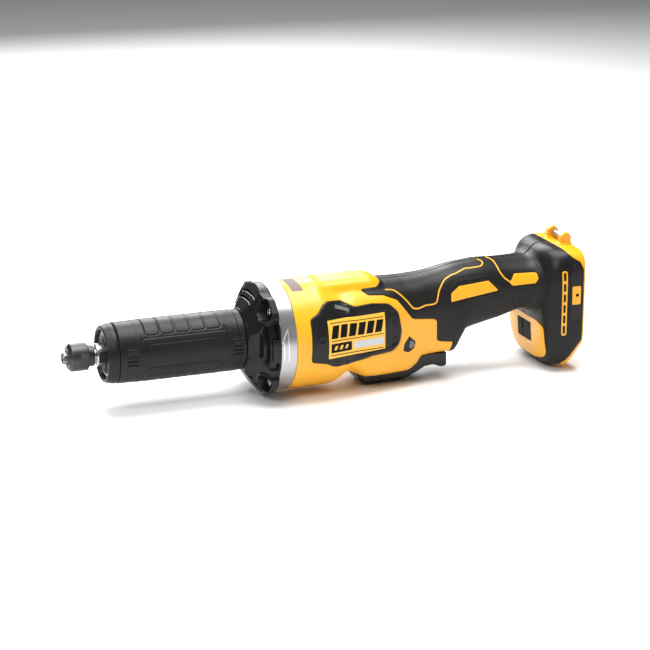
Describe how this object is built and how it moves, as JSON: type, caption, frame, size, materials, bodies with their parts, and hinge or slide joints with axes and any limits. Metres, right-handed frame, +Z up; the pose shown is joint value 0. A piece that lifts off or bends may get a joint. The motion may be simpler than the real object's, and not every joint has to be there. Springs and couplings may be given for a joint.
{
  "type": "die grinder",
  "caption": "Cordless extended die grinder: long rubber barrel grip, collet nut, vented motor body with paddle switch, slim rubber handle and a battery foot with slide rails.",
  "frame": {"origin": "centre of the underside of the tool's bounding box, below the spindle axis", "axes": "+X along the tool from the collet to the battery foot, +Y to the tool's right-hand side, +Z up, away from the paddle"},
  "size_m": [0.4014, 0.084, 0.1042],
  "materials": {
    "amber_plastic": "satin moulded",
    "black_plastic": "satin moulded",
    "grey_rubber": "soft-touch matte",
    "steel": "ground",
    "black_steel": "black oxide",
    "cast_aluminium": "satin",
    "copper": "enamelled wire",
    "brass": "polished",
    "laminated_steel": "stacked sheet",
    "magnet": "plated",
    "circuit_board": "lacquered",
    "label_film": "printed film"
  },
  "bodies": {
    "housing": {"front_bearing_outer_race": "steel", "front_bearing_balls": "steel", "mid_bearing_outer_race": "steel", "mid_bearing_balls": "steel", "rear_bearing_outer_race": "steel", "rear_bearing_balls": "steel", "nose_tube": "cast_aluminium", "dust_seal": "black_plastic", "nose_ring": "grey_rubber", "grip_boot": "grey_rubber", "front_cover": "black_plastic", "cover_screw_1": "black_steel", "cover_screw_2": "black_steel", "cover_screw_3": "black_steel", "cover_screw_4": "black_steel", "motor_bracket": "cast_aluminium", "stator_core": "laminated_steel", "front_windings": "copper", "rear_windings": "copper", "sensor_board": "circuit_board", "rear_bearing_holder": "cast_aluminium", "left_housing": "amber_plastic", "right_housing": "amber_plastic", "left_grip": "grey_rubber", "right_grip": "grey_rubber", "left_side_panel": "black_plastic", "right_side_panel": "black_plastic", "left_badge": "amber_plastic", "right_badge": "amber_plastic", "top_label": "label_film", "paddle_pin": "steel", "switch_body": "black_plastic", "control_module": "circuit_board", "battery_mount": "black_plastic", "terminal_block": "black_plastic", "terminal_blade_1": "brass", "terminal_blade_2": "brass", "lanyard_bar": "amber_plastic", "left_vent_grille": "amber_plastic", "right_vent_grille": "amber_plastic", "housing_screw_1": "black_steel", "housing_screw_2": "black_steel", "housing_screw_3": "black_steel"},
    "rotor": {"spindle": "steel", "rotor_shaft": "steel", "drive_coupling": "black_steel", "rotor_core": "laminated_steel", "rotor_magnets": "magnet", "fan": "black_plastic", "front_bearing_inner_race": "steel", "mid_bearing_inner_race": "steel", "rear_bearing_inner_race": "steel"},
    "collet": {"collet": "steel"},
    "nut": {"collet_nut": "black_steel"},
    "paddle": {"paddle": "black_plastic", "lever_pin": "steel", "lever_spring": "steel", "paddle_spring": "steel"},
    "lever": {"lock_off_lever": "black_plastic"},
    "plunger": {"switch_plunger": "steel"}
  },
  "joints": [
    {"name": "spindle_spin", "type": "hinge", "parent": "housing", "child": "rotor", "pos_m": [0.00025, 0, 0.0444], "axis": [-1, 0, 0], "continuous": true},
    {"name": "collet_advance", "type": "slide", "parent": "rotor", "child": "collet", "axis": [-1, 0, 0], "range_m": [0, 0.002]},
    {"name": "nut_turn", "type": "hinge", "parent": "collet", "child": "nut", "pos_m": [-0.18675, 0, 0.0444], "axis": [-1, 0, 0], "range_deg": [0, 722]},
    {"name": "paddle_press", "type": "hinge", "parent": "housing", "child": "paddle", "pos_m": [0.02525, 0, 0.0139], "axis": [0, -1, 0], "range_deg": [0, 5], "stiffness_Nm_per_rad": 2.5, "springref_deg": -9.17, "deforming": ["paddle_spring"]},
    {"name": "lock_off", "type": "hinge", "parent": "paddle", "child": "lever", "pos_m": [0.06725, 0, 0.0099], "axis": [0, 1, 0], "range_deg": [0, 20], "stiffness_Nm_per_rad": 0.02, "springref_deg": -17.19},
    {"name": "plunger_press", "type": "slide", "parent": "housing", "child": "plunger", "axis": [0, 0, 1], "range_m": [0, 0.0056]}
  ],
  "couplings": [
    {"joint": "nut_turn", "follows": "collet_advance", "rad_per_m": 6283.2},
    {"joint": "plunger_press", "follows": "paddle_press", "m_per_rad": 0.0625}
  ]
}
